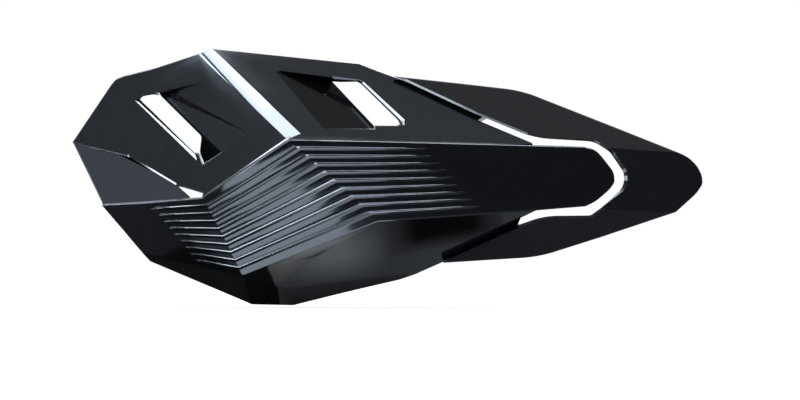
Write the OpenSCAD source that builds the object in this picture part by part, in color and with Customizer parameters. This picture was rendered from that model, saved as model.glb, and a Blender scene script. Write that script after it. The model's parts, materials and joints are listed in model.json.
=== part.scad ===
// Right-hand motorcycle hand guard of the open kind, on a bar clamp.
// Frame: +Z up, +X towards the middle of the motorcycle, -Y the way it drives.
// The origin is the centre of the handlebar clamp's bore, whose axis is X.

/* [Shield] */
// Length of the whole guard, tip to nose
guard_l = 269; // [250:1:285]
// Height of the shield
guard_h = 109; // [102:1:118]
// Depth of the shield from its foremost line back to its outer tip
guard_d = 52; // [46:1:58]
// From the handlebar's axis forward to the shield's foremost line
reach = 92; // [86:1:104]
// Thickness of the shield's skin
wall = 2.6; // [2.2:0.1:3.2]
// Number of ribs on the band
rib_count = 9; // [7:1:10]
// Height of a rib above the band
rib_rise = 1.0; // [0.5:0.1:1.3]
// Width of a rib at its foot
rib_w = 1.9; // [1.5:0.1:2.4]
// Where a rib's shoulder stands, as a share of its half width
rib_shoulder = 0.5; // [0.3:0.05:0.7]
// How high a rib's shoulder stands, as a share of its rise
rib_shoulder_rise = 0.68; // [0.5:0.02:0.8]
// How far the band stands proud of the upper faces
band_step = 1.5; // [1:0.1:2.2]
// Depth of the two vent ramps behind the skin
vent_drop = 9; // [6:0.5:11]
// Thickness of the vent ramps and the side scoop
duct_wall = 2.2; // [1.8:0.1:2.8]

/* [Nose cover] */
// Thickness of the nose cover
nose_wall = 2.4; // [2:0.1:3]
// Space between the shield's flanges and the nose cover that laps them
lap_gap = 0.3; // [0.2:0.05:0.5]
// Diameter of the nose cover's screw bosses
nose_boss_d = 7; // [6:0.5:9]
// Diameter of the nose screws
nose_screw_d = 3; // [2.5:0.5:3.5]

/* [Shield fixing] */
// Distance between the two shield screws
screw_pitch = 36; // [32:1:38]
// Diameter of the shield screws
screw_d = 5; // [4:0.5:6]
// Diameter of the shield's screw bosses
boss_d = 12; // [11:0.5:14]
// Outer diameter of the brass inserts
insert_d = 7.4; // [7:0.1:8]
// Length of the brass inserts
insert_l = 8; // [6:0.5:9]
// From the foremost line back to the face of the screw bosses
boss_back = 22; // [20:0.5:25]
// Diameter of a grommet's neck
grommet_d = 11; // [10.5:0.5:12]
// Diameter of a grommet's flanges
grommet_flange_d = 16; // [15:0.5:18]
// Thickness of a grommet's flanges
grommet_t = 1.2; // [0.8:0.1:1.6]
// Outer diameter of the spacer sleeves
sleeve_d = 7; // [6.8:0.1:7.6]

/* [Arm] */
// Thickness of the arm's plate
plate_t = 5; // [4:0.5:6]
// Height of the arm's plate
plate_h = 24; // [20:1:28]
// Height of the arm's flanges
flange_h = 15; // [13:1:18]
// Thickness of the arm's flanges and web
arm_web = 3.5; // [3:0.5:5]
// Diameter of the arm's eye
eye_d = 20; // [18:1:24]
// Height of the arm's eye
eye_h = 13; // [11:1:16]
// From the handlebar's axis forward to the pivot
pivot_reach = 31; // [30:1:36]
// Diameter of the pivot bolt
pivot_d = 6; // [5:0.5:8]
// Wall of the bush in the eye
bush_wall = 1.5; // [1:0.25:2]
// Thickness of the thrust washers
thrust_t = 0.8; // [0.6:0.1:1.2]

/* [Clamp] */
// Diameter of the handlebar
bar_d = 22.2; // [22:0.1:22.4]
// Width of the clamp along the handlebar
clamp_w = 20; // [18:1:24]
// Wall of the clamp round the handlebar
clamp_wall = 5.4; // [5:0.2:7]
// Gap between the two halves of the clamp
clamp_gap = 1.5; // [1:0.25:2.5]
// Thickness of the clamp's bolt lugs in each half
lug_t = 8; // [7:0.5:10]
// Diameter of the clamp bolts
clamp_bolt_d = 5; // [4:0.5:5.5]
// Thickness of the fork's ears
ear_t = 5; // [4.5:0.25:5.5]

/* [Hidden] */
$fn = 48;

// Scale of the shield's named points, which are written for these three nominal sizes.
kx = guard_l / 269;
kz = guard_h / 109;
ky = guard_d / 52;

// A named point is [along, depth behind the foremost line, height]; a plan point is [along, height].
function pt(p) = [p[0] * kx, p[1] * ky - reach, p[2] * kz];
function plan(p) = [p[0] * kx, p[1] * kz];
function unit(v) = v / norm(v);
function lerp(a, b, t) = a + (b - a) * t;
function sum(v, i = 0) = i == len(v) - 1 ? v[i] : v[i] + sum(v, i + 1);

// A facet's plane is [y at the origin, rise along x, rise along z].
function plane(p, q, r) =
    let (u = q - p, v = r - p, det = u[0] * v[2] - u[2] * v[0])
    let (b = (u[1] * v[2] - u[2] * v[1]) / det, c = (u[0] * v[1] - u[1] * v[0]) / det)
    [p[1] - b * p[0] - c * p[2], b, c];
function on(pl, p) = [p[0], pl[0] + pl[1] * p[0] + pl[2] * p[1], p[1]];
function forward_normal(pl) = unit([pl[1], -1, pl[2]]);
// A plane moved back so that the layer between the two is t thick.
function moved_back(pl, t) = [pl[0] + t * norm([pl[1], 1, pl[2]]), pl[1], pl[2]];

// Corners that fix the facets.
crest_top_l = pt([-111.8, 34, 52.9]);
crest_top_r = pt([-105.4, 34, 55.2]);
crest_foot_l = pt([-74, 2.2, 17]);
crest_foot_r = pt([-67.6, 1.8, 18.7]);
tip_l = pt([-165.8, 52, 15.3]);
upper_end = pt([30.6, 14.5, 14.9]);
left_face = plane(tip_l, crest_top_l, crest_foot_l);
right_face = plane(crest_top_r, crest_foot_r, upper_end);

proud = [0, -band_step, 0];
kink_l_top = on(left_face, plan([-109.2, -8.5])) + proud;
kink_l_foot = pt([-92.2, 13, -41.4]);
kink_r_top = on(right_face, plan([-72.2, 16.1])) + proud;
kink_r_foot = pt([-34.4, 4.6, -18.3]);
band_tip = pt([-153.2, 41.5, -11.5]);
tongue_end = pt([65.9, 17.8, -1.7]);
left_band = plane(kink_l_top, kink_l_foot, band_tip);
right_band = plane(kink_r_top, kink_r_foot, tongue_end);
band_tip_foot = on(left_band, plan([-135.2, -32.3]));
band_end_foot = on(right_band, plan([32.7, -13.8]));

keel = pt([-60.4, 17, -33.1]);
flank_mid = pt([-25.5, 32, -43.4]);
front_flank = plane(keel, kink_r_foot, flank_mid);
rear_flank = plane(kink_r_foot, band_end_foot, flank_mid);
keel_foot = on(front_flank, plan([-88.8, -54]));
under_face = plane(band_tip_foot, kink_l_foot, keel_foot);

// The band's stations from its outer tip to the tongue: point at its top, point at its foot.
stations = [
    [band_tip, band_tip_foot],
    [on(left_band, plan([-135.4, -10.6])), lerp(band_tip_foot, kink_l_foot, 0.556)],
    [on(left_band, plan([-125.4, -9.8])), lerp(band_tip_foot, kink_l_foot, 0.723)],
    [kink_l_top, kink_l_foot],
    [kink_r_top, kink_r_foot],
    [on(right_band, plan([-36.1, 15.5])), lerp(kink_r_foot, band_end_foot, 0.386)],
    [on(right_band, plan([-17.4, 15.1])), lerp(kink_r_foot, band_end_foot, 0.684)],
    [on(right_band, plan([31, 13.8])), band_end_foot]];
// The ribs rise from nothing, run round both kinks and fade out again.
rise = [0, 0, rib_rise, rib_rise, rib_rise, rib_rise, 0, 0];

// The band's cross-section as [share of the way down, share of the rise], with five points for each rib.
rib_half = rib_w / norm(kink_l_foot - kink_l_top) / 2;
section = concat([[0, 0]],
    [for (k = [1:rib_count], s = [[-1, 0], [-rib_shoulder, rib_shoulder_rise], [0, 1],
        [rib_shoulder, rib_shoulder_rise], [1, 0]])
        [k / (rib_count + 1) + s[0] * rib_half, s[1]]],
    [[1, 0]]);
last = len(section) - 1;
function band_point(i, j) =
    lerp(stations[i][0], stations[i][1], section[j][0]) - [0, section[j][1] * rise[i], 0];

// The tongue's rounded end, from top to foot.
tongue = [for (p = [[53.1, 13.2], [57.8, 11.9], [60.8, 8.5], [65.5, 2.5], [65.9, -1.7], [63.8, -4.9],
    [57.8, -10], [53.5, -12.1]]) on(right_band, plan(p))];

// Foot of the step between the upper faces and the band.
step_run = 0.9;
function below(p, pl, side) = on(pl, [p[0] + side[0] * step_run, p[2] + side[1] * step_run]);
step_foot = [
    below(stations[3][0], left_face, [-0.6, 0.8]),
    crest_foot_l,
    crest_foot_r,
    below(stations[5][0], right_face, [0, 1]),
    below(stations[6][0], right_face, [0, 1]),
    upper_end];

// The rest of the outline, on the facets that it bounds.
notch_plan = [[-109.2, -6.4], [-121.1, -2.8], [-141.5, 9.3]];
notch = [for (p = notch_plan) on(left_face, plan(p))];
corner = [for (p = [[-149.2, 39.9], [-147, 42.5], [-143.7, 43.8], [-129.6, 47.2]]) on(left_face, plan(p))];
top_edge = [for (p = [[-42.1, 48.7], [-28.9, 43.4]]) on(right_face, plan(p))];
rim_top = [for (p = [[-23.8, 41.6], [6.8, 27.2]]) on(right_face, plan(p))];
gap_start = on(right_face, plan([7.6, 24.6]));
top_flange = plane(rim_top[0], rim_top[1], pt([17, 35, 30.5]));
flange_top = [for (p = [[4, 37.4], [17, 30.5]]) on(top_flange, plan(p))];
foot_edge = [for (p = [[-46.8, -48.4], [-71, -54.4]]) on(front_flank, plan(p))];
rim_foot = [for (p = [[24.6, -20], [-7.2, -35.9]]) on(rear_flank, plan(p))];
foot_flange = plane(rim_foot[0], rim_foot[1], pt([28.9, 28, -25.5]));
flange_foot = [for (p = [[28.9, -25.5], [10, -33.6]]) on(foot_flange, plan(p))];
flank_end = on(rear_flank, plan([25.9, -17]));
flank_low = on(rear_flank, plan([-19.6, -41.4]));
under_tip = on(under_face, plan([-132.2, -35.7]));

// The skin's vertices, and the number of each.
band_pts = [for (i = [0:7], j = [0:last]) band_point(i, j)];
single_pts = [tip_l, crest_top_l, crest_top_r, gap_start, keel, keel_foot, flank_mid, flank_end, flank_low,
    under_tip];
groups = [band_pts, tongue, step_foot, notch, corner, top_edge, rim_top, flange_top, foot_edge, rim_foot,
    flange_foot, single_pts];
skin = [for (g = groups) each g];
function start(n) = n == 0 ? 0 : start(n - 1) + len(groups[n - 1]);
function band(i, j) = i * (last + 1) + j;
tong = start(1);
step = start(2);
notc = start(3);
corn = start(4);
topp = start(5);
rimt = start(6);
flat = start(7);
foot = start(8);
rimf = start(9);
flaf = start(10);
tip = start(11);
crest_l = tip + 1;
crest_r = tip + 2;
gap_s = tip + 3;
keel_v = tip + 4;
keel_f = tip + 5;
mid_v = tip + 6;
end_v = tip + 7;
low_v = tip + 8;
under_v = tip + 9;

// Facets, each clockwise as seen from outside. rows says which points of the section the band uses.
function facets(rows) = concat(
    [for (i = [1:5], j = [0:len(rows) - 2])
        [band(i, rows[j]), band(i + 1, rows[j]), band(i + 1, rows[j + 1]), band(i, rows[j + 1])]],
    [concat([band(0, 0)], [for (j = rows) band(1, j)], [band(0, last)]),
    concat([for (k = [1:len(rows)]) band(6, rows[len(rows) - k])], [band(7, 0), band(7, last)]),
    concat([band(7, 0)], [for (k = [0:7]) tong + k], [band(7, last)]),
    [tip, corn, corn + 1, corn + 2, corn + 3, crest_l, step + 1, step, notc, notc + 1, notc + 2],
    [crest_l, crest_r, step + 2, step + 1],
    [crest_r, topp, topp + 1, rimt, rimt + 1, gap_s, step + 5, step + 4, step + 3, step + 2],
    [rimt, flat, flat + 1, rimt + 1],
    [rimt + 1, flat + 1, gap_s],
    [step, step + 1, band(4, 0), band(3, 0)],
    [step + 1, step + 2, band(4, 0)],
    [step + 2, step + 3, band(5, 0), band(4, 0)],
    [step + 3, step + 4, band(6, 0), band(5, 0)],
    [step + 4, step + 5, band(7, 0), band(6, 0)],
    [band(0, last), band(1, last), band(2, last), band(3, last), keel_f, under_v],
    [band(3, last), keel_v, keel_f],
    [band(3, last), band(4, last), keel_v],
    [keel_v, band(4, last), mid_v, foot, foot + 1, keel_f],
    [band(4, last), band(5, last), band(6, last), band(7, last), end_v, rimf, rimf + 1, low_v, mid_v],
    [rimf, flaf, flaf + 1, rimf + 1]]);
outer = facets([for (j = [0:last]) j]);
plain = facets([0, last]);

// Twice the area of a facet, times its inward normal.
function inward(pts, f) =
    let (c = pts[f[0]]) sum([for (k = [1:len(f) - 2]) cross(pts[f[k]] - c, pts[f[k + 1]] - c)]);
// Every vertex moved in by t along the mean normal of the facets round it.
function offset_skin(pts, fs, t) =
    let (normals = [for (f = fs) inward(pts, f)])
    [for (v = [0:len(pts) - 1])
        let (near = [for (k = [0:len(fs) - 1]) if (len(search(v, fs[k])) > 0) normals[k]])
        len(near) == 0 ? pts[v] : pts[v] + unit(sum(near)) * t];
// Edges that only one facet has.
function rim_edges(fs) =
    let (edges = [for (f = fs, k = [0:len(f) - 1]) [f[k], f[(k + 1) % len(f)]]])
    [for (e = edges) if (len([for (g = edges) if (g[0] == e[1] && g[1] == e[0]) 1]) == 0) e];

// A closed shell between a skin and the same vertices moved in.
module shell(pts, inner, front, back) {
    n = len(pts);
    walls = [for (e = rim_edges(front)) [e[1], e[0], e[0] + n, e[1] + n]];
    behind = [for (f = back) [for (k = [0:len(f) - 1]) f[(len(f) - k) % len(f)] + n]];
    polyhedron(concat(pts, inner), concat(front, walls, behind), convexity = 8);
}

// A solid between two planes over a plan outline that runs clockwise as seen from the front.
module between(outline, front_pl, back_pl) {
    n = len(outline);
    pts = concat([for (p = outline) on(front_pl, p)], [for (p = outline) on(back_pl, p)]);
    polyhedron(pts, concat([[for (k = [0:n - 1]) k], [for (k = [1:n]) 2 * n - k]],
        [for (k = [0:n - 1]) [(k + 1) % n, k, k + n, (k + 1) % n + n]]), convexity = 4);
}

// A point and direction for what follows a slanted axis.
module along(p, n) {
    translate(p) rotate([0, acos(n[2]), atan2(n[1], n[0])]) children();
}

// Vents: a slot through the skin, a ramp that falls to it from the crest side, and a chamfer along
// its other sides.
slot_l = [for (p = [[-136.4, 33.6], [-135.3, 34.9], [-130.9, 35.7], [-127.9, 35.3], [-110.1, 17.8],
    [-110.9, 10.8], [-113, 10.8]]) plan(p)];
ramp_line_l = [plan([-110.1, 40.6]), plan([-88.8, 19.6])];
rim_l = [plan([-128.9, 36.3]), plan([-109.2, 6])];
slot_r = [for (p = [[-54.4, 40.8], [-43.8, 41], [-42.2, 40.2], [-26.4, 24.6], [-25.6, 22.9], [-26.6, 22.2],
    [-36.5, 22.3]]) plan(p)];
ramp_line_r = [plan([-57.8, 20.8]), plan([-78.6, 45.5])];
rim_r = [plan([-36.2, 20.9]), plan([-54.8, 42.9])];
drop = [0, vent_drop, 0];
ramp_plane_l = plane(on(left_face, ramp_line_l[0]), on(left_face, ramp_line_l[1]),
    on(left_face, slot_l[3]) + drop);
ramp_plane_r = plane(on(right_face, ramp_line_r[0]), on(right_face, ramp_line_r[1]),
    on(right_face, slot_r[0]) + drop);

// A ramp's recess: its two long sides, drawn a little past the line where it meets the skin,
// then its slot side.
past = 1.06;
function recess(rim, ramp_line, side) = concat(
    [rim[0], lerp(rim[0], ramp_line[0], past), lerp(rim[1], ramp_line[1], past), rim[1]], side);
recess_l = recess(rim_l, ramp_line_l, [slot_l[5], slot_l[4], slot_l[3]]);
recess_r = recess(rim_r, ramp_line_r, [slot_r[0], slot_r[6]]);

// Chamfers as [two points on the face, two points on the slot], clockwise as seen from the front.
chamfer_l = [plan([-111.5, 8.1]), plan([-138.6, 33.2]), slot_l[0], slot_l[6]];
chamfers_r = [
    [plan([-54.9, 42.9]), plan([-43.3, 42]), slot_r[1], slot_r[0]],
    [plan([-43.3, 42]), plan([-41, 41]), slot_r[2], slot_r[1]],
    [plan([-41, 41]), plan([-24.2, 24.6]), slot_r[3], slot_r[2]],
    [plan([-24.2, 24.6]), plan([-23.6, 22.4]), slot_r[4], slot_r[3]]];

// The side scoop: a floor that dives behind the upper face's notch and the band's top edge.
scoop_plane = plane(pt([-164.6, 51.2, 14]), pt([-151.9, 42.8, -9.8]), pt([-114.8, 28, -8.1]));
scoop = [for (p = [[-165.2, 15], [-154, 15.4], [-141.5, 12.8], [-120, 0.4], [-119.8, -3.7], [-114.8, -8.1],
    [-114.8, -10.8], [-151.9, -13], [-152.6, -10.6]]) plan(p)];
scoop_top_web = [for (p = [[-154, 14.6], [-141.5, 12.2], [-121, -0.2], [-120.9, -2.3], [-141.5, 9.8],
    [-154, 12.6]]) plan(p)];
scoop_foot_web = [for (p = [[-150, -11.2], [-109.2, -8.5], [-109.2, -10.9], [-149, -13.6]]) plan(p)];

// How far the cutting solids reach past what they cut: clear of a skin, and through any part.
beyond = 10;
through = 60;

// Screw places.
face_y = boss_back - reach;
mid_x = -28;
screw_x = [mid_x - screw_pitch / 2, mid_x + screw_pitch / 2];
nose_top_screws = [for (p = [[-3, 36], [9.5, 31]]) on(top_flange, plan(p))];
nose_foot_screws = [for (p = [[22, -25.2], [12, -29.8]]) on(foot_flange, plan(p))];
top_n = forward_normal(top_flange);
foot_n = forward_normal(foot_flange);
nose_places = concat([for (p = nose_top_screws) [p, top_n]], [for (p = nose_foot_screws) [p, foot_n]]);
pad_t = wall + 1;
hole_slack = 0.4;

// The moulding's flat-faced body. The resize keeps its size and makes it one mesh.
module moulding() {
    resize([0, 0, 0]) union() {
        difference() {
            union() {
                shell(skin, offset_skin(skin, plain, wall), outer, plain);
                vent_body(recess_l, ramp_plane_l, left_face);
                vent_body(recess_r, ramp_plane_r, right_face);
            }
            vent_cut(recess_l, slot_l, ramp_plane_l, left_face);
            vent_cut(recess_r, slot_r, ramp_plane_r, right_face);
            chamfer(chamfer_l, left_face);
            for (c = chamfers_r) chamfer(c, right_face);
        }
        between(scoop, scoop_plane, moved_back(scoop_plane, duct_wall));
        between(scoop_top_web, moved_back(left_face, wall / 2), moved_back(scoop_plane, duct_wall / 2));
        between(scoop_foot_web, moved_back(left_band, wall / 2), moved_back(scoop_plane, duct_wall / 2));
    }
}

module shield() {
    color("#1c1e21") difference() {
        union() {
            moulding();
            for (x = screw_x) shield_boss(x);
            for (s = nose_places) along(s[0], -s[1]) translate([0, 0, wall / 2])
                cylinder(d = nose_boss_d + 2, h = pad_t - wall / 2);
        }
        for (x = screw_x) translate([x, face_y + 1, 0]) rotate([90, 0, 0])
            cylinder(d = insert_d, h = insert_l + 1);
        for (s = nose_places) along(s[0], -s[1])
            cylinder(d = nose_screw_d + hole_slack, h = 2 * beyond, center = true);
    }
}

// What the ramp's recess is cut into. Its two long sides get a wall.
module vent_body(recess, ramp, face) {
    out = [for (k = [0, 2]) let (d = unit(recess[k + 1] - recess[k])) [-d[1], d[0]] * duct_wall];
    moved = [for (k = [0:len(recess) - 1]) recess[k] + (k < 2 ? out[0] : k < 4 ? out[1] : [0, 0])];
    between(moved, moved_back(face, wall / 2), moved_back(ramp, duct_wall));
}

// Falls from the face along the first two points to four fifths of the wall along the last two.
module chamfer(c, face) {
    foot = on(face, c[2]) + [0, wall * 0.8, 0];
    between(c, moved_back(face, -beyond), plane(on(face, c[0]), on(face, c[1]), foot));
}

module vent_cut(recess, slot, ramp, face) {
    between(recess, moved_back(face, -beyond), ramp);
    between(slot, moved_back(face, -beyond), moved_back(face, 2 * vent_drop));
}

// A boss with two gussets, from the face for the arm forward into the skin.
module shield_boss(x) {
    front = on(right_band, [x, 0])[1] + wall / 2;
    translate([x, face_y, 0]) rotate([90, 0, 0]) cylinder(d = boss_d, h = face_y - front);
    gusset_t = 2;
    gusset_w = boss_d + 6;
    translate([x - gusset_t / 2, front - 0.3, -gusset_w / 2]) cube([gusset_t, (face_y - front) * 0.6, gusset_w]);
}

module insert_bushes() {
    color("#b08d3a") for (x = screw_x) translate([x, face_y, 0]) rotate([90, 0, 0]) difference() {
        cylinder(d = insert_d, h = insert_l);
        translate([0, 0, -1]) cylinder(d = screw_d, h = insert_l + 2);
    }
}

// Nose cover: a skin lofted from its inner rim to its outline. It laps the shield's two flanges.
lap = nose_wall + lap_gap;
lap_top = [0, on(right_face, [0, 0])[1] - moved_back(right_face, lap)[0], 0];
lap_foot = [0, on(rear_flank, [0, 0])[1] - moved_back(rear_flank, lap)[0], 0];
nose_start = [rim_top[0] + lap_top, rim_top[1] + lap_top];
nose_end = [rim_foot[0] + lap_foot, rim_foot[1] + lap_foot];
nose_top = plane(nose_start[0], nose_start[1], pt([93.1, 24, 10.8]));
nose_under = plane(nose_end[0], nose_end[1], pt([91.8, 20.5, -14.5]));
crease_top = [for (p = [[61.6, 12.5], [93.1, 10.8]]) on(nose_top, plan(p))];
crease_foot = [for (p = [[59.6, -12.9], [91.8, -14.5]]) on(nose_under, plan(p))];
nose_side = plane(crease_top[0], crease_top[1], crease_foot[1]);
nose_pts = concat(nose_start,
    [for (p = [[31.4, 17], [56.9, 15.5]]) on(nose_top, plan(p))], [crease_top[0]],
    [for (p = [[63.8, 11], [69.7, 2.3], [69.7, -3.4], [62.9, -10.2]]) on(nose_side, plan(p))], [crease_foot[0]],
    [for (p = [[55.6, -15.9], [35.7, -16.1]]) on(nose_under, plan(p))], nose_end,
    [for (p = [[-28.5, 43.4], [0, 40.4], [26.3, 37.4], [66, 21.7]]) on(nose_top, plan(p))], [crease_top[1]],
    [for (p = [[97.2, 8.9], [100.9, 5.3], [103.1, 1.1], [103.3, -2.6], [100.7, -6.6]])
        on(nose_side, plan(p))], [crease_foot[1]],
    [for (p = [[60, -25.2], [33.6, -33.6], [-7, -36.1]]) on(nose_under, plan(p))]);
// Each facet starts at a corner that sees all its others.
nose_facets = [
    [16, 17, 18, 4, 3, 2, 1, 0, 14, 15],
    [18, 19, 20, 21, 22, 23, 24, 9, 8, 7, 6, 5, 4],
    [26, 27, 13, 12, 11, 10, 9, 24, 25]];

// From each screw's place on a flange to the middle of the nose cover's skin above it.
over_screws = [nose_top, nose_top, nose_under, nose_under];
function reach_along(p, n, pl) =
    (pl[0] + pl[1] * p[0] + pl[2] * p[2] - p[1]) / (n[1] - pl[1] * n[0] - pl[2] * n[2]);
boss_l = [for (k = [0:3])
    reach_along(nose_places[k][0], nose_places[k][1], over_screws[k]) - nose_wall / 2];

// The skin's inner side, straight back so that the slanting facets come out nose_wall thick.
nose_back = [0, nose_wall * 1.3, 0];
module nose_cover() {
    color("#26282b") difference() {
        union() {
            shell(nose_pts, [for (p = nose_pts) p + nose_back], nose_facets, nose_facets);
            for (k = [0:3]) along(nose_places[k][0], nose_places[k][1])
                cylinder(d = nose_boss_d, h = boss_l[k]);
        }
        for (k = [0:3]) along(nose_places[k][0], nose_places[k][1]) translate([0, 0, -1])
            cylinder(d = nose_screw_d, h = boss_l[k] + 1);
    }
}

nose_washer_t = 0.8;
module nose_washers() {
    color("#8b8f94") for (s = nose_places) along(s[0] - s[1] * pad_t, -s[1]) difference() {
        cylinder(d = nose_boss_d, h = nose_washer_t);
        cylinder(d = nose_screw_d + hole_slack, h = beyond, center = true);
    }
}

module nose_screws() {
    head_h = nose_screw_d * 0.7;
    cross_w = nose_screw_d * 0.2;
    cross_deep = head_h * 0.4;
    under_head = pad_t + nose_washer_t;
    color("#5a5e63") for (k = [0:3])
        along(nose_places[k][0] - nose_places[k][1] * under_head, nose_places[k][1]) difference() {
            union() {
                cylinder(d = nose_screw_d, h = under_head + boss_l[k] - 0.3);
                translate([0, 0, -head_h])
                    cylinder(d1 = nose_screw_d * 1.5, d2 = nose_screw_d * 1.9, h = head_h);
            }
            for (a = [0, 90]) rotate(a) translate([0, 0, -head_h])
                cube([nose_screw_d, cross_w, 2 * cross_deep], center = true);
        }
}

// Stack on each shield screw, from the boss back: grommet and sleeve, washer, head.
stack = plate_t + 2 * grommet_t;
module on_screws(back) {
    for (x = screw_x) translate([x, face_y + back, 0]) rotate([-90, 0, 0]) children();
}

module grommets() {
    color("#151515") on_screws(0) difference() {
        union() {
            cylinder(d = grommet_flange_d, h = grommet_t);
            cylinder(d = grommet_d, h = stack);
            translate([0, 0, stack - grommet_t]) cylinder(d = grommet_flange_d, h = grommet_t);
        }
        translate([0, 0, -1]) cylinder(d = sleeve_d, h = stack + 2);
    }
}

module grommet_sleeves() {
    color("#9a9ea3") on_screws(0) difference() {
        cylinder(d = sleeve_d, h = stack);
        translate([0, 0, -1]) cylinder(d = screw_d + hole_slack, h = stack + 2);
    }
}

washer_t = 1.2;
module shield_washers() {
    color("#9a9ea3") on_screws(stack) difference() {
        cylinder(d = screw_d * 2.4, h = washer_t);
        translate([0, 0, -1]) cylinder(d = screw_d + hole_slack, h = washer_t + 2);
    }
}

module shield_screws() {
    head_h = screw_d * 0.55;
    shank = stack + washer_t + insert_l - 1;
    color("#3a3d40") on_screws(stack + washer_t) difference() {
        union() {
            translate([0, 0, -shank]) cylinder(d = screw_d, h = shank);
            cylinder(d1 = screw_d * 1.9, d2 = screw_d * 1.3, h = head_h);
        }
        translate([0, 0, head_h * 0.42]) cylinder(d = screw_d * 0.7, h = head_h, $fn = 6);
    }
}

// Arm: plate, two tapering flanges on a web, and the eye for the pivot.
plate_y = face_y + grommet_t;
bush_d = pivot_d + 0.1 + 2 * bush_wall;
plate_l = screw_pitch + grommet_flange_d + 4;
arm_foot_a = [mid_x - plate_l / 2 + 8, plate_y + plate_t - 0.6];
arm_foot_b = [mid_x + plate_l / 2 - 1, plate_y + plate_t - 0.6];
eye_c = [0, -pivot_reach];

module bar_2d(p, q, w) {
    side = unit(q - p);
    out = [-side[1], side[0]] * w / 2;
    polygon([p + out, q + out, q - out, p - out]);
}

module arm() {
    far_a = eye_c + [-eye_d / 2 + arm_web / 2, 0];
    far_b = eye_c + [eye_d / 2 - arm_web / 2, -1];
    color("#202224") difference() {
        union() {
            translate([mid_x, plate_y, 0]) rotate([-90, 0, 0]) linear_extrude(plate_t) square(
                [plate_l, plate_h], center = true);
            translate([0, 0, -flange_h / 2]) linear_extrude(flange_h) {
                bar_2d(arm_foot_a, far_a, arm_web);
                bar_2d(arm_foot_b, far_b, arm_web);
            }
            translate([0, 0, -arm_web / 2]) linear_extrude(arm_web)
                polygon([arm_foot_a, arm_foot_b, far_b, far_a]);
            for (t = [0.33, 0.66]) translate([0, 0, -flange_h / 2 + 1]) linear_extrude(flange_h - 2)
                bar_2d(lerp(arm_foot_a, far_a, t), lerp(arm_foot_b, far_b, t - 0.2), 2);
            translate([eye_c[0], eye_c[1], -eye_h / 2]) cylinder(d = eye_d, h = eye_h);
        }
        translate([eye_c[0], eye_c[1], 0]) cylinder(d = bush_d, h = through, center = true);
        for (s = [-1, 1]) translate([eye_c[0], eye_c[1], s * (eye_h / 2 + beyond)])
            cylinder(r = eye_d / 2 + 7, h = 2 * beyond, center = true);
        for (x = screw_x) translate([x, plate_y - 1, 0]) rotate([-90, 0, 0])
            cylinder(d = grommet_d, h = plate_t + 2);
        for (x = screw_x) translate([x, plate_y + plate_t, 0]) rotate([-90, 0, 0])
            cylinder(d = grommet_flange_d + 1, h = beyond);
    }
}

module arm_bush() {
    color("#9a9ea3") translate([eye_c[0], eye_c[1], 0]) difference() {
        cylinder(d = bush_d, h = eye_h, center = true);
        cylinder(d = pivot_d + 0.1, h = eye_h + 2, center = true);
    }
}

ear_z = eye_h / 2 + thrust_t + 0.1;
module thrust_washers() {
    color("#c9c4b4") for (s = [-1, 1])
        translate([eye_c[0], eye_c[1], s * (ear_z - thrust_t / 2)]) difference() {
            cylinder(d = eye_d - 2, h = thrust_t, center = true);
            cylinder(d = pivot_d + hole_slack, h = thrust_t + 2, center = true);
        }
}

// Clamp: two halves on the handlebar, split across the line of travel, with the fork on the front half.
clamp_r = bar_d / 2 + clamp_wall;
bolt_z = bar_d / 2 + clamp_bolt_d / 2 + 3.4;
lug_z = bolt_z + clamp_bolt_d / 2 + 3;
fork_z = ear_z + ear_t;
washer_d = clamp_bolt_d * 2;

module clamp_half(side) {
    intersection() {
        union() {
            rotate([0, 90, 0]) cylinder(r = clamp_r, h = clamp_w, center = true);
            translate([-clamp_w / 2, -lug_t, -lug_z]) cube([clamp_w, 2 * lug_t, 2 * lug_z]);
        }
        translate([-through / 2, side < 0 ? -through : clamp_gap / 2, -through])
            cube([through, through - clamp_gap / 2, 2 * through]);
    }
}

module bar_and_bolts() {
    rotate([0, 90, 0]) cylinder(d = bar_d, h = clamp_w + 2, center = true);
    for (s = [-1, 1]) translate([0, 0, s * bolt_z]) rotate([90, 0, 0])
        cylinder(d = clamp_bolt_d + hole_slack, h = through, center = true);
}

nut_h = clamp_bolt_d * 0.8;
nut_w = clamp_bolt_d * 1.67;
module clamp_body() {
    ear_w = eye_d - 2;
    color("#232527") difference() {
        union() {
            clamp_half(-1);
            for (s = [-1, 1]) translate([0, 0, s * (ear_z + ear_t / 2)]) {
                translate([eye_c[0], eye_c[1], 0]) cylinder(d = ear_w, h = ear_t, center = true);
                translate([-ear_w / 2, eye_c[1], -ear_t / 2])
                    cube([ear_w, pivot_reach - bar_d / 2 - 1, ear_t]);
            }
        }
        bar_and_bolts();
        translate([eye_c[0], eye_c[1], 0]) cylinder(d = pivot_d, h = through, center = true);
        translate([eye_c[0], eye_c[1], 0]) cylinder(r = eye_d / 2 + 1.2, h = 2 * ear_z, center = true);
        for (s = [-1, 1]) translate([0, -lug_t + nut_h, s * bolt_z]) rotate([90, 0, 0])
            cylinder(d = nut_w / cos(30) + 0.4, h = beyond, $fn = 6);
    }
}

module clamp_cap() {
    color("#232527") difference() {
        clamp_half(1);
        bar_and_bolts();
        for (s = [-1, 1]) translate([0, lug_t, s * bolt_z]) rotate([-90, 0, 0])
            cylinder(d = washer_d + 0.8, h = beyond);
    }
}

module clamp_washers() {
    color("#9a9ea3") for (s = [-1, 1]) translate([0, lug_t, s * bolt_z]) rotate([-90, 0, 0]) difference() {
        cylinder(d = washer_d, h = washer_t);
        translate([0, 0, -1]) cylinder(d = clamp_bolt_d + hole_slack, h = washer_t + 2);
    }
}

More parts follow.
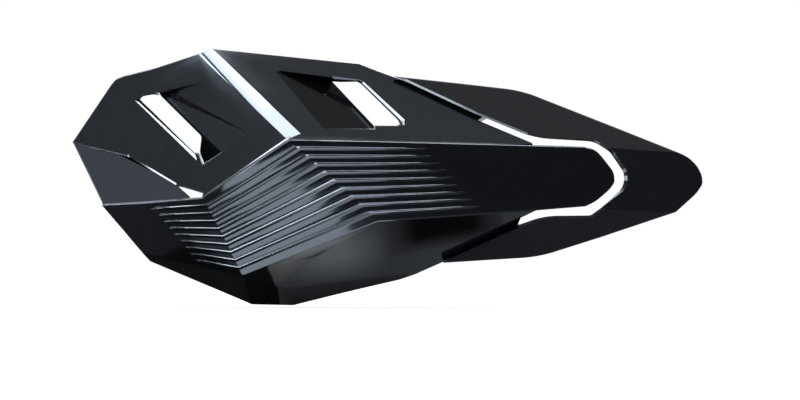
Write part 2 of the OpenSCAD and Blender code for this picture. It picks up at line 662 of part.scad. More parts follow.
module clamp_bolts() {
    head_d = clamp_bolt_d * 1.65;
    shank = 2 * lug_t + washer_t;
    color("#3a3d40") for (s = [-1, 1]) translate([0, lug_t + washer_t, s * bolt_z]) rotate([-90, 0, 0])
        difference() {
            union() {
                cylinder(d = head_d, h = clamp_bolt_d);
                translate([0, 0, -shank]) cylinder(d = clamp_bolt_d, h = shank);
            }
            translate([0, 0, clamp_bolt_d * 0.5]) cylinder(d = clamp_bolt_d * 0.95, h = beyond, $fn = 6);
        }
}

module clamp_nuts() {
    color("#9a9ea3") for (s = [-1, 1]) translate([0, -lug_t, s * bolt_z]) rotate([-90, 0, 0]) difference() {
        cylinder(d = nut_w / cos(30), h = nut_h, $fn = 6);
        translate([0, 0, -1]) cylinder(d = clamp_bolt_d, h = nut_h + 2);
    }
}

// Pivot bolt from above, with a washer each side and the nut below.
module pivot_washers() {
    color("#9a9ea3") for (s = [-1, 1])
        translate([eye_c[0], eye_c[1], s * (fork_z + washer_t / 2)]) difference() {
            cylinder(d = pivot_d * 2, h = washer_t, center = true);
            cylinder(d = pivot_d + hole_slack, h = washer_t + 2, center = true);
        }
}

pivot_nut_h = pivot_d;
module pivot_bolt() {
    low = -fork_z - washer_t - pivot_nut_h - 1;
    color("#3a3d40") translate([eye_c[0], eye_c[1], 0]) {
        translate([0, 0, low]) cylinder(d = pivot_d, h = fork_z + washer_t - low);
        translate([0, 0, fork_z + washer_t])
            cylinder(d = pivot_d * 1.67 / cos(30), h = pivot_d * 0.66, $fn = 6);
    }
}

module pivot_nut() {
    color("#9a9ea3") translate([eye_c[0], eye_c[1], -fork_z - washer_t - pivot_nut_h]) difference() {
        cylinder(d = pivot_d * 1.67 / cos(30), h = pivot_nut_h, $fn = 6);
        translate([0, 0, -1]) cylinder(d = pivot_d, h = pivot_nut_h + 2);
    }
}

shield();
nose_cover();
insert_bushes();
grommets();
grommet_sleeves();
shield_washers();
shield_screws();
nose_screws();
nose_washers();
arm();
arm_bush();
thrust_washers();
pivot_bolt();
pivot_washers();
pivot_nut();
clamp_body();
clamp_cap();
clamp_bolts();
clamp_washers();
clamp_nuts();
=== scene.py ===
"""Dresses the motorcycle hand guard: shield, nose cover, arm, handlebar clamp and fasteners."""
import json
import math

import bmesh
import bpy
from bpy.props import FloatProperty, FloatVectorProperty, PointerProperty
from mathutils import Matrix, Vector


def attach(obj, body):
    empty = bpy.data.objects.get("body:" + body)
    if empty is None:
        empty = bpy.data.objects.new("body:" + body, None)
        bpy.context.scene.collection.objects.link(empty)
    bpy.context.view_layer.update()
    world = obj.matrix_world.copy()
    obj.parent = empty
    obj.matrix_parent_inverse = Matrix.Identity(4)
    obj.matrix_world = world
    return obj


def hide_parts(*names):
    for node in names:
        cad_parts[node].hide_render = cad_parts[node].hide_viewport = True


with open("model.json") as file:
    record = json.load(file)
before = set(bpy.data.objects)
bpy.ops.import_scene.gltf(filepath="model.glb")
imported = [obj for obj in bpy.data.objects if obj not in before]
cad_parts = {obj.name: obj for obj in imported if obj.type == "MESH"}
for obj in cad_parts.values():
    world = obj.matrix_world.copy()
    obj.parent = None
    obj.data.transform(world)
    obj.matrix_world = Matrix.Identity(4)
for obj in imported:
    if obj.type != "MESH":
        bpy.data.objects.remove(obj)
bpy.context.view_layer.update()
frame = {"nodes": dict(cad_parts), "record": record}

bl_info = {
    "name": "Motorcycle Hand Guard",
    "version": (1, 0, 0),
    "blender": (4, 5, 0),
    "location": "3D Viewport > Sidebar > Hand Guard",
    "description": "Finishes the hand guard's pieces and lights them in a pale studio",
    "category": "Object",
}

MM = 0.001
MICRON = 0.001 * MM
SLOTS = {part["node"]: part["material_slot"] for part in frame["record"]["subparts"]}
BODY_OF = {node: body for body, nodes in frame["record"]["behaviour"]["bodies"].items()
           for node in nodes}


# Materials

def linear(hex_colour):
    """The linear colour of an sRGB hex value such as "#1c1e21"."""
    channels = [int(hex_colour[i:i + 2], 16) / 255 for i in (1, 3, 5)]
    return tuple(c / 12.92 if c <= 0.04045 else ((c + 0.055) / 1.055) ** 2.4 for c in channels)


def add(tree, kind, inputs=None, **settings):
    """Adds a node with its settings. An input is given a value, or a socket or node to link.

    A node is linked by its first output, and a list links each of its entries in turn."""
    node = tree.nodes.new(kind)
    for name, value in settings.items():
        setattr(node, name, value)
    for name, value in (inputs or {}).items():
        for source in value if isinstance(value, list) else [value]:
            if isinstance(source, bpy.types.Node):
                source = source.outputs[0]
            if isinstance(source, bpy.types.NodeSocket):
                tree.links.new(source, node.inputs[name])
            else:
                node.inputs[name].default_value = source
    return node


def new_material(name):
    """An empty material, its tree and its output node."""
    material = bpy.data.materials.new(name)
    material.use_nodes = True
    tree = material.node_tree
    tree.nodes.clear()
    return material, tree, add(tree, "ShaderNodeOutputMaterial")


def skin(tree, out, tone, tints, values):
    """Ends a material: its colour follows a pattern between two tints, each with its own place."""
    colour = add(tree, "ShaderNodeValToRGB", {"Fac": tone})
    for element, (place, tint) in zip(colour.color_ramp.elements, tints):
        element.position = place
        element.color = (*tint, 1)
    shader = add(tree, "ShaderNodeBsdfPrincipled", {"Base Color": colour, **values})
    tree.links.new(shader.outputs["BSDF"], out.inputs["Surface"])


def gloss_polypropylene(finish):
    """Polypropylene from a polished mould: black and wet, with a slow swell in its shine."""
    material, tree, out = new_material("gloss_moulded_polypropylene")
    place = add(tree, "ShaderNodeTexCoord").outputs["Object"]
    # The skin swells over 70 mm where it shrank, hazes over 6 mm and holds dust of 0.4 mm.
    swell = add(tree, "ShaderNodeTexNoise", {
        "Vector": place, "Scale": 1 / (71.4 * MM), "Detail": 3.0})
    haze = add(tree, "ShaderNodeTexNoise", {
        "Vector": place, "Scale": 1 / (6.25 * MM), "Detail": 5.0, "Roughness": 0.65})
    dust = add(tree, "ShaderNodeTexNoise", {
        "Vector": place, "Scale": 1 / (0.385 * MM), "Detail": 1.0})
    rough = add(tree, "ShaderNodeMath", {
        0: add(tree, "ShaderNodeMapRange", {
            "Value": haze, "To Min": 0.7 * finish.gloss_roughness,
            "To Max": 1.3 * finish.gloss_roughness}),
        1: add(tree, "ShaderNodeMapRange", {"Value": dust, "To Min": -0.02, "To Max": 0.03}),
    }, operation="ADD")
    wave = add(tree, "ShaderNodeBump", {"Height": swell, "Strength": 0.25, "Distance": 1.0 * MM})
    fine = add(tree, "ShaderNodeBump", {
        "Height": haze, "Normal": wave, "Strength": 0.1, "Distance": 0.08 * MM})
    # The shine is bluish, and lower than bare polypropylene's, which keeps the flats black.
    skin(tree, out, swell, [(0.3, linear("#08090c")), (0.75, tuple(finish.gloss_colour))], {
        "Roughness": rough, "IOR": 1.49, "Specular IOR Level": 0.28,
        "Specular Tint": (0.7, 0.83, 1.0, 1), "Normal": fine})
    return material


def grained_polypropylene(finish):
    """Polypropylene from a spark-eroded mould: charcoal, with a fine grain that spreads light."""
    material, tree, out = new_material("grained_moulded_polypropylene")
    place = add(tree, "ShaderNodeTexCoord").outputs["Object"]
    # A real grain of 0.15 mm is too fine to show, so the pits are drawn at the size set.
    pits = add(tree, "ShaderNodeTexVoronoi", {
        "Vector": place, "Scale": 1 / finish.grain, "Randomness": 1.0}, feature="SMOOTH_F1")
    mottle = add(tree, "ShaderNodeTexNoise", {
        "Vector": place, "Scale": 1 / (0.909 * MM), "Detail": 3.0})
    cloud = add(tree, "ShaderNodeTexNoise", {
        "Vector": place, "Scale": 1 / (45.5 * MM), "Detail": 4.0})
    tone = add(tree, "ShaderNodeMath", {
        0: mottle,
        1: add(tree, "ShaderNodeMapRange", {"Value": cloud, "To Min": -0.12, "To Max": 0.12}),
    }, operation="ADD")
    rough = add(tree, "ShaderNodeMapRange", {"Value": mottle, "To Min": 0.5, "To Max": 0.68})
    bump = add(tree, "ShaderNodeBump", {"Height": pits, "Strength": 0.5, "Distance": 0.12 * MM})
    skin(tree, out, tone, [(0.32, linear("#090a0d")), (0.72, tuple(finish.grain_colour))], {
        "Roughness": rough, "IOR": 1.49, "Specular IOR Level": 0.1,
        "Specular Tint": (0.7, 0.8, 1.0, 1), "Normal": bump})
    return material


def glass_filled_nylon(finish):
    """Moulded nylon 6 with short glass: near black and satin, with faint marks of the fibres."""
    material, tree, out = new_material("glass_filled_nylon")
    place = add(tree, "ShaderNodeTexCoord").outputs["Object"]
    # The fibres lie along Y, four times as long as the 1.1 mm that they show across.
    stretched = add(tree, "ShaderNodeMapping", {"Vector": place, "Scale": (1.0, 0.25, 1.0)})
    fibres = add(tree, "ShaderNodeTexNoise", {
        "Vector": stretched, "Scale": 1 / (1.11 * MM), "Detail": 4.0, "Roughness": 0.7})
    flow = add(tree, "ShaderNodeTexNoise", {
        "Vector": place, "Scale": 1 / (22.2 * MM), "Detail": 3.0, "Distortion": 0.6})
    rough = add(tree, "ShaderNodeMapRange", {"Value": fibres, "To Min": 0.38, "To Max": 0.6})
    bump = add(tree, "ShaderNodeBump", {"Height": fibres, "Strength": 0.3, "Distance": 0.1 * MM})
    skin(tree, out, flow, [(0.3, linear("#101113")), (0.7, tuple(finish.nylon_colour))], {
        "Roughness": rough, "IOR": 1.53, "Specular IOR Level": 0.35, "Normal": bump})
    return material


def nitrile_rubber(finish):
    """Moulded nitrile: black and dull, with a pale bloom in patches of 4 mm."""
    material, tree, out = new_material("nitrile_rubber")
    place = add(tree, "ShaderNodeTexCoord").outputs["Object"]
    bloom = add(tree, "ShaderNodeTexNoise", {
        "Vector": place, "Scale": 1 / (4.17 * MM), "Detail": 5.0})
    rough = add(tree, "ShaderNodeMapRange", {"Value": bloom, "To Min": 0.65, "To Max": 0.9})
    bump = add(tree, "ShaderNodeBump", {"Height": bloom, "Strength": 0.25, "Distance": 0.1 * MM})
    skin(tree, out, bloom, [(0.4, linear("#0d0d0e")), (0.8, tuple(finish.rubber_colour))], {
        "Roughness": rough, "IOR": 1.52, "Normal": bump})
    return material


def acetal(finish):
    """Turned natural acetal: milky and slightly waxy, clouded over 11 mm."""
    material, tree, out = new_material("natural_acetal")
    place = add(tree, "ShaderNodeTexCoord").outputs["Object"]
    cloud = add(tree, "ShaderNodeTexNoise", {
        "Vector": place, "Scale": 1 / (11.1 * MM), "Detail": 3.0})
    rough = add(tree, "ShaderNodeMapRange", {"Value": cloud, "To Min": 0.32, "To Max": 0.46})
    skin(tree, out, cloud, [(0.3, linear("#cfc9bb")), (0.7, tuple(finish.acetal_colour))], {
        "Roughness": rough, "IOR": 1.48, "Subsurface Weight": 0.1, "Subsurface Scale": 1.0 * MM})
    return material


def metal(name, dark, light, smooth, dull, grain, depth):
    """A plated or turned metal: its tint and roughness vary over grains of the given size."""
    material, tree, out = new_material(name)
    place = add(tree, "ShaderNodeTexCoord").outputs["Object"]
    grains = add(tree, "ShaderNodeTexNoise", {"Vector": place, "Scale": 1 / grain, "Detail": 4.0})
    rough = add(tree, "ShaderNodeMapRange", {"Value": grains, "To Min": smooth, "To Max": dull})
    bump = add(tree, "ShaderNodeBump", {"Height": grains, "Strength": 0.2, "Distance": depth})
    # The light tint goes where the grains stand up: a painted highlight on the black oxide and the
    # brass, the passivate's mottle on the zinc.
    skin(tree, out, grains, [(0.3, linear(dark)), (0.75, linear(light))], {
        "Metallic": 1.0, "Roughness": rough, "Normal": bump})
    return material


# The finish of each of the record's slots.
MAKERS = {
    "gloss_black": gloss_polypropylene,
    "matt_black": grained_polypropylene,
    "black_nylon": glass_filled_nylon,
    "rubber": nitrile_rubber,
    "acetal": acetal,
    # Bright zinc on steel: cool, mottled by the passivate.
    "zinc_steel": lambda finish: metal(
        "zinc_plated_steel", "#8d9196", "#c3c7cb", 0.26, 0.42, 2.38 * MM, 0.04 * MM),
    # Black oxide on steel: dark and oily, brighter where the grains stand up, a painted highlight.
    "black_steel": lambda finish: metal(
        "black_oxide_steel", "#17181b", "#34373b", 0.3, 0.48, 1.43 * MM, 0.04 * MM),
    # Turned brass: warm, brighter on its grains' ridges, a painted highlight.
    "brass": lambda finish: metal(
        "turned_brass", "#a9803a", "#d9b468", 0.24, 0.4, 2.0 * MM, 0.03 * MM),
}
MADE = {}


def finish_for(slot, finish):
    """The material for a slot, made once."""
    if slot not in MADE:
        MADE[slot] = MAKERS[slot](finish)
    return MADE[slot]


# Meshes

# Facets of a CAD node that bend less than this are one flat facet.
ONE_PLANE = math.radians(0.6)
# A crease between two facets wider than this stays crisp in the shading.
WIDE_FACET = 2 * MM


def merged_copy(node):
    """A bmesh copy of a CAD node with its loose triangles joined and its flat facets whole."""
    source = frame["nodes"][node]
    mesh = bmesh.new()
    mesh.from_mesh(source.data)
    mesh.transform(source.matrix_world)
    bmesh.ops.remove_doubles(mesh, verts=mesh.verts, dist=2 * MICRON)
    bmesh.ops.dissolve_degenerate(mesh, edges=mesh.edges, dist=1 * MICRON)
    bmesh.ops.dissolve_limit(mesh, angle_limit=ONE_PLANE, verts=mesh.verts, edges=mesh.edges,
                             delimit=set())
    return mesh


def piece(name, node, finish):
    """An empty mesh object in the finish of the CAD node that it stands for."""
    data = bpy.data.meshes.new(name)
    obj = bpy.data.objects.new(name, data)
    bpy.context.scene.collection.objects.link(obj)
    data.materials.append(finish_for(SLOTS[node], finish))
    return obj


def settle(obj, *nodes):
    """obj rides as its CAD nodes do and stands for them."""
    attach(obj, BODY_OF[nodes[0]])
    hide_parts(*nodes)
    return obj


def extent(points):
    """The lowest and the highest corner of a set of points."""
    return (Vector([min(point[k] for point in points) for k in range(3)]),
            Vector([max(point[k] for point in points) for k in range(3)]))


def through_skin(edge):
    """Whether an edge runs from the front of the skin to its back, between two rim walls."""
    along = (edge.verts[1].co - edge.verts[0].co).normalized()
    return abs(along.y) > 0.6 and all(abs(face.normal.y) < 0.75 for face in edge.link_faces)


def wall_corner(edge):
    """Whether an edge through the skin is a corner of the outline that can be rounded."""
    return (len(edge.link_faces) == 2 and edge.calc_length() >= 1.2 * MM
            and all(len(vert.link_edges) == 3 for vert in edge.verts) and through_skin(edge)
            and math.radians(8) < edge.calc_face_angle(0) < math.radians(100))


def rounded_wall(edge):
    """Whether an edge is one of the fine steps round a rounded corner of the outline."""
    return through_skin(edge) and edge.calc_face_angle(0) < math.radians(30)


def spot(edge):
    """An edge's place to a hundredth of a millimetre, which tells it from the others."""
    return tuple(round(c / (0.01 * MM)) for vert in edge.verts for c in vert.co)


def round_corners(mesh, radius_at):
    """Rounds the outline's corners, each by the radius for its place, as its walls allow."""
    tried = set()
    while True:
        mesh.edges.index_update()
        places = {edge.index: spot(edge) for edge in mesh.edges if wall_corner(edge)}
        fresh = [index for index, place in places.items() if place not in tried]
        if not fresh:
            return mesh
        tried.add(places[fresh[0]])
        trial = mesh.copy()
        trial.edges.ensure_lookup_table()
        edge = trial.edges[fresh[0]]
        ends = [vert.co.copy() for vert in edge.verts]
        room = min(face.calc_area() / edge.calc_length() for face in edge.link_faces)
        radius = min(radius_at(ends[0]), 0.42 * room)
        if radius < 0.3 * MM:
            trial.free()
            continue
        made = bmesh.ops.bevel(trial, geom=[edge], offset=radius, offset_type="OFFSET",
                               segments=4, profile=0.5, affect="EDGES", clamp_overlap=False)
        for face in made["faces"]:
            tried.update(spot(step) for step in face.edges if step.is_valid and wall_corner(step))
        # A corner whose rounding would run out along its walls stays sharp.
        if all(min((vert.co - end).length for end in ends) < 1.6 * radius
               for vert in made["verts"]):
            mesh.free()
            mesh = trial
        else:
            trial.free()


def flat_layer(mesh):
    """The face layer that marks the breaks."""
    return mesh.faces.layers.int.get("flat") or mesh.faces.layers.int.new("flat")


def break_edges(mesh, chosen, width):
    """Gives the chosen edges one flat break each, which keeps its own plane in the shading."""
    flat = flat_layer(mesh)
    live = [edge for edge in mesh.edges if len(edge.link_faces) == 2 and chosen(edge)]
    made = bmesh.ops.bevel(mesh, geom=live, offset=width, offset_type="OFFSET", segments=1,
                           profile=0.5, affect="EDGES", clamp_overlap=False)
    for face in made["faces"]:
        face[flat] = 1


def weigh_edges(mesh, width, angle):
    """Says how far each convex edge sharper than the angle is rounded, and marks the creases."""
    weight = mesh.edges.layers.float.new("bevel_weight_edge")
    flat = flat_layer(mesh)
    chosen = {edge for edge in mesh.edges if len(edge.link_faces) == 2 and edge.is_convex
              and edge.calc_face_angle(0) > angle and not rounded_wall(edge)
              and not any(face[flat] for face in edge.link_faces)}
    for edge in mesh.edges:
        if len(edge.link_faces) != 2:
            continue
        room = min(face.calc_area() / edge.calc_length() for face in edge.link_faces)
        if edge in chosen:
            # The rounding slides along the edges that stay sharp, so it's shorter than they are.
            run = min((other.calc_length() for vert in edge.verts for other in vert.link_edges
                       if other is not edge and other not in chosen), default=1)
            edge[weight] = min(1.0, 0.3 * room / width, 0.45 * run / width)
        elif (room > WIDE_FACET and edge.calc_face_angle(0) > math.radians(0.8)
              and not rounded_wall(edge)):
            edge.smooth = False


def soften(obj, mesh, width, segments, angle):
    """Rounds the mesh's convex edges sharper than the angle and shades its flats flat."""
    bmesh.ops.remove_doubles(mesh, verts=mesh.verts, dist=5 * MICRON)
    bmesh.ops.dissolve_degenerate(mesh, edges=mesh.edges, dist=2 * MICRON)
    weigh_edges(mesh, width, angle)
    flat = flat_layer(mesh)
    for face in mesh.faces:
        face.smooth = not face[flat]
        face.material_index = face[flat] if len(obj.data.materials) > 1 else 0
    lowest, highest = extent([vert.co for vert in mesh.verts])
    mesh.to_mesh(obj.data)
    mesh.free()
    bevel = obj.modifiers.new("rounding", "BEVEL")
    bevel.width = width
    bevel.segments = segments
    bevel.limit_method = "WEIGHT"
    bevel.use_clamp_overlap = False
    bevel.harden_normals = False
    weighted = obj.modifiers.new("flat_facets", "WEIGHTED_NORMAL")
    weighted.mode = "FACE_AREA"
    weighted.keep_sharp = True
    graph = bpy.context.evaluated_depsgraph_get()
    rounded = bpy.data.meshes.new_from_object(obj.evaluated_get(graph))
    rounded.name = obj.name
    obj.modifiers.clear()
    obj.data = rounded
    # The rounding leaves no point outside the CAD node's box.
    for vertex in rounded.vertices:
        for k in range(3):
            vertex.co[k] = min(max(vertex.co[k], lowest[k]), highest[k])
    return obj


# Geometry Nodes

# The bend past which an edge of a washer, nut or screw stays crisp.
CRISP = math.radians(28)


def node_tree(name, sizes):
    """A Geometry Nodes tree, whose inputs are where to place a piece and its sizes."""
    tree = bpy.data.node_groups.new(name, "GeometryNodeTree")
    inputs = [("Points", "NodeSocketGeometry"), ("Turn", "NodeSocketVector"),
              ("Material", "NodeSocketMaterial"), *((size, "NodeSocketFloat") for size in sizes)]
    for label, kind in inputs:
        tree.interface.new_socket(label, in_out="INPUT", socket_type=kind)
    tree.interface.new_socket("Geometry", in_out="OUTPUT", socket_type="NodeSocketGeometry")
    return tree, add(tree, "NodeGroupInput").outputs


def lifted(tree, geometry, height):
    """Geometry moved along Z."""
    offset = add(tree, "ShaderNodeCombineXYZ", {"Z": height})
    return add(tree, "GeometryNodeTransform", {"Geometry": geometry, "Translation": offset})


def place_on_points(tree, given, geometry):
    """Ends a tree: the piece on every point, turned, with crisp edges and its material set."""
    copies = add(tree, "GeometryNodeInstanceOnPoints", {
        "Points": given["Points"], "Instance": geometry, "Rotation": given["Turn"]})
    real = add(tree, "GeometryNodeRealizeInstances", {"Geometry": copies})
    smooth = add(tree, "GeometryNodeSetShadeSmooth", {"Geometry": real, "Shade Smooth": True})
    bend = add(tree, "GeometryNodeInputMeshEdgeAngle")
    sharp = add(tree, "FunctionNodeCompare", {0: bend, 1: CRISP}, operation="GREATER_THAN")
    crisp = add(tree, "GeometryNodeSetShadeSmooth", {
        "Geometry": smooth, "Selection": sharp, "Shade Smooth": False}, domain="EDGE")
    made = add(tree, "GeometryNodeSetMaterial", {
        "Geometry": crisp, "Material": given["Material"]})
    add(tree, "NodeGroupOutput", {"Geometry": made})
    return tree


def washer_tree():
    """A flat ring with rounded rims: a filleted rectangle swept round a circle."""
    tree, given = node_tree("washers", ("Outer Radius", "Inner Radius", "Thickness", "Rim"))
    outer, inner = given["Outer Radius"], given["Inner Radius"]
    wide = add(tree, "ShaderNodeMath", {0: outer, 1: inner}, operation="SUBTRACT")
    both = add(tree, "ShaderNodeMath", {0: outer, 1: inner}, operation="ADD")
    middle = add(tree, "ShaderNodeMath", {0: both, 1: 0.5}, operation="MULTIPLY")
    section = add(tree, "GeometryNodeCurvePrimitiveQuadrilateral", {
        "Width": wide, "Height": given["Thickness"]})
    soft = add(tree, "GeometryNodeFilletCurve", {
        "Curve": section, "Count": 2, "Radius": given["Rim"]}, mode="POLY")
    ring = add(tree, "GeometryNodeCurvePrimitiveCircle", {"Resolution": 48, "Radius": middle})
    swept = add(tree, "GeometryNodeCurveToMesh", {"Curve": ring, "Profile Curve": soft})
    return place_on_points(tree, given, swept)


def nut_tree():
    """A hexagon nut: a prism cut by a ball, which leaves the turned corners, with a bore."""
    tree, given = node_tree("nuts", ("Across Flats", "Height", "Bore Radius"))
    flats, height = given["Across Flats"], given["Height"]
    corner = add(tree, "ShaderNodeMath", {0: flats, 1: math.sqrt(3)}, operation="DIVIDE")
    prism = add(tree, "GeometryNodeMeshCylinder", {
        "Vertices": 6, "Radius": corner, "Depth": height})
    # The ball meets the nut's faces a little outside its flats.
    side = add(tree, "ShaderNodeMath", {0: flats, 1: 0.525}, operation="MULTIPLY")
    half = add(tree, "ShaderNodeMath", {0: height, 1: 0.5}, operation="MULTIPLY")
    squares = [add(tree, "ShaderNodeMath", {0: length, 1: length}, operation="MULTIPLY")
               for length in (side, half)]
    both = add(tree, "ShaderNodeMath", {0: squares[0], 1: squares[1]}, operation="ADD")
    radius = add(tree, "ShaderNodeMath", {0: both}, operation="SQRT")
    ball = add(tree, "GeometryNodeMeshUVSphere", {"Segments": 48, "Rings": 32, "Radius": radius})
    cut = add(tree, "GeometryNodeMeshBoolean", {"Mesh 2": [prism, ball]},
              operation="INTERSECT", solver="EXACT")
    through = add(tree, "ShaderNodeMath", {0: height, 1: 2.0}, operation="MULTIPLY")
    hole = add(tree, "GeometryNodeMeshCylinder", {
        "Vertices": 32, "Radius": given["Bore Radius"], "Depth": through})
    bored = add(tree, "GeometryNodeMeshBoolean", {"Mesh 1": cut, "Mesh 2": hole},
                operation="DIFFERENCE", solver="EXACT")
    return place_on_points(tree, given, bored)


def socket_screw_tree():
    """A screw with a hexagon socket and a wound thread. Its head sits on Z = 0."""
    tree, given = node_tree("socket_screws", (
        "Head Radius", "Head Top Radius", "Head Height", "Socket", "Shank Radius",
        "Shank Length", "Pitch"))
    head_height, length, pitch = given["Head Height"], given["Shank Length"], given["Pitch"]
    head = add(tree, "GeometryNodeMeshCone", {
        "Vertices": 48, "Radius Top": given["Head Top Radius"],
        "Radius Bottom": given["Head Radius"], "Depth": head_height})
    # The socket goes 0.6 of the way into the head.
    deep = add(tree, "ShaderNodeMath", {0: head_height, 1: 0.6}, operation="MULTIPLY")
    corner = add(tree, "ShaderNodeMath", {0: given["Socket"], 1: math.sqrt(3)},
                 operation="DIVIDE")
    key = add(tree, "GeometryNodeMeshCylinder", {
        "Vertices": 6, "Radius": corner,
        "Depth": add(tree, "ShaderNodeMath", {0: deep, 1: 2.0}, operation="MULTIPLY")})
    keyed = add(tree, "GeometryNodeMeshBoolean", {
        "Mesh 1": head, "Mesh 2": lifted(tree, key, head_height)},
                operation="DIFFERENCE", solver="EXACT")
    half_pitch = add(tree, "ShaderNodeMath", {0: pitch, 1: 0.5}, operation="MULTIPLY")
    core = add(tree, "ShaderNodeMath", {0: given["Shank Radius"], 1: half_pitch},
               operation="SUBTRACT")
    shank = add(tree, "GeometryNodeMeshCylinder", {
        "Vertices": 32, "Radius": core, "Depth": length})
    shank_centre = add(tree, "ShaderNodeMath", {0: length, 1: -0.5}, operation="MULTIPLY")
    # The thread covers 0.94 of the shank, and stops 0.03 short of either end.
    wound = add(tree, "ShaderNodeMath", {0: length, 1: 0.94}, operation="MULTIPLY")
    thread_end = add(tree, "ShaderNodeMath", {0: length, 1: -0.97}, operation="MULTIPLY")
    turns = add(tree, "ShaderNodeMath", {0: wound, 1: pitch}, operation="DIVIDE")
    coil = add(tree, "GeometryNodeCurveSpiral", {
        "Resolution": 24, "Rotations": turns, "Start Radius": core, "End Radius": core,
        "Height": wound})
    tooth = add(tree, "GeometryNodeCurvePrimitiveCircle", {
        "Resolution": 4,
        "Radius": add(tree, "ShaderNodeMath", {0: pitch, 1: 0.46}, operation="MULTIPLY")})
    thread = add(tree, "GeometryNodeCurveToMesh", {
        "Curve": coil, "Profile Curve": tooth, "Fill Caps": True})
    screw = add(tree, "GeometryNodeJoinGeometry", {"Geometry": [
        keyed, lifted(tree, shank, shank_centre), lifted(tree, thread, thread_end)]})
    return place_on_points(tree, given, screw)


def solids_of(node):
    """The lowest and highest corner of each solid of a CAD node."""
    mesh = merged_copy(node)
    left, found = set(mesh.verts), []
    while left:
        reach, seen = [left.pop()], []
        while reach:
            vert = reach.pop()
            seen.append(vert.co.copy())
            for edge in vert.link_edges:
                other = edge.other_vert(vert)
                if other in left:
                    left.discard(other)
                    reach.append(other)
        found.append(extent(seen))
    mesh.free()
    return sorted(found, key=lambda corners: tuple(corners[0]))


def grow(name, node, finish, tree, points, turn, sizes):
    """Runs a tree on its points, and settles the mesh that comes out in its CAD node's place."""
    data = bpy.data.meshes.new(name)
    data.from_pydata([tuple(point) for point in points], [], [])
    obj = bpy.data.objects.new(name, data)
    bpy.context.scene.collection.objects.link(obj)
    modifier = obj.modifiers.new(name, "NODES")
    modifier.node_group = tree
    values = {"Turn": turn, "Material": finish_for(SLOTS[node], finish), **sizes}
    for item in tree.interface.items_tree:
        if item.in_out == "INPUT" and item.name in values:
            modifier[item.identifier] = values[item.name]
    graph = bpy.context.evaluated_depsgraph_get()
    made = bpy.data.meshes.new_from_object(obj.evaluated_get(graph))
    made.name = name
    obj.modifiers.clear()
    obj.data = made
    return settle(obj, node)


# Settings

class HandGuardSizes(bpy.types.PropertyGroup):
    """Sizes of the roundings, the rims and the grain."""
    shield_edge: FloatProperty(
        name="Shield edge", description="Radius on the shield's edges",
        default=0.5 * MM, unit="LENGTH")
    nose_edge: FloatProperty(
        name="Nose edge", description="Radius on the nose cover's edges",
        default=0.8 * MM, unit="LENGTH")
    clamp_edge: FloatProperty(
        name="Clamp edge", description="Radius on the clamp's and the arm's edges",
        default=0.6 * MM, unit="LENGTH")
    outline_corner: FloatProperty(
        name="Outline corner", description="Radius on the shield's outline and slot corners",
        default=1.0 * MM, unit="LENGTH")
    tongue_corner: FloatProperty(
        name="Tongue corner", description="Radius on the tongue's and the nose cover's corners",
        default=6.0 * MM, unit="LENGTH")
    vent_rim: FloatProperty(
        name="Vent rim", description="Width of the flat break round the vents",
        default=0.7 * MM, unit="LENGTH")
    nose_rim: FloatProperty(
        name="Nose rim", description="Width of the flat break round the nose cover's opening",
        default=1.5 * MM, unit="LENGTH")
    washer_rim: FloatProperty(
        name="Washer rim", description="Radius on the washers' rims",
        default=0.2 * MM, unit="LENGTH")


class HandGuardColours(bpy.types.PropertyGroup):
    """Colours, shine and grain of the pieces."""
    gloss_colour: FloatVectorProperty(
        name="Shield", description="Colour of the gloss shield",
        subtype="COLOR", default=linear("#0e1014"))
    gloss_roughness: FloatProperty(
        name="Shield shine", description="Roughness of the gloss shield",
        default=0.11, min=0, max=1, subtype="FACTOR")
    grain_colour: FloatVectorProperty(
        name="Nose cover", description="Colour of the grained nose cover",
        subtype="COLOR", default=linear("#14161b"))
    grain: FloatProperty(
        name="Grain", description="Size of the nose cover's mould grain",
        default=0.55 * MM, unit="LENGTH")
    nylon_colour: FloatVectorProperty(
        name="Arm and clamp", description="Colour of the nylon arm and clamp",
        subtype="COLOR", default=linear("#1a1b1e"))
    rubber_colour: FloatVectorProperty(
        name="Grommets", description="Colour of the rubber grommets",
        subtype="COLOR", default=linear("#1e1e1f"))
    acetal_colour: FloatVectorProperty(
        name="Thrust washers", description="Colour of the acetal thrust washers",
        subtype="COLOR", default=linear("#e0dbcf"))


# Pieces

# The bend past which each moulding's edges are rounded.
SHIELD_BEND = math.radians(26)
NOSE_BEND = math.radians(10)
ARM_BEND = math.radians(30)

# The outward normals of the shield's left and right faces and of the nose cover's side.
LEFT_FACE = Vector((-0.46, -0.85, 0.26)).normalized()
RIGHT_FACE = Vector((0.12, -0.68, 0.72)).normalized()
NOSE_SIDE = Vector((0.22, -0.965, 0.12)).normalized()

# Where the rims that catch the light lie: a range of x and a range of z, in millimetres.
NOTCH = ((-200, -120), (-10, 12))
LEFT_VENT = ((-200, -100), (-60, 60))
RIGHT_VENT = ((-60, -20), (20, 60))
RIGHT_VENT_FOOT = ((-80, -40), (30, 48))
# No wall round the left vent is as large as this.
VENT_WALL_AREA = 100 * MM * MM

# The tongue starts here along X.
TONGUE = 0.045
# The middle of the nose cover's opening, and where its rim ends along X.
OPENING = Vector((0.03, 0.0, 0.0))
OPENING_END = 0.072
# The nose cover's lower front corner, which the CAD has a little off the side's plane.
NOSE_CORNER = Vector((0.0596, 0.0, -0.0129))
NOSE_CORNER_REACH = 1.5 * MM
NOSE_FRONT = -0.07


def middle_of(edge):
    """The middle of an edge."""
    return (edge.verts[0].co + edge.verts[1].co) / 2


def within(point, place):
    """Whether a point is in a range of x and a range of z, in millimetres."""
    (x0, x1), (z0, z1) = place
    return x0 * MM < point.x < x1 * MM and z0 * MM < point.z < z1 * MM


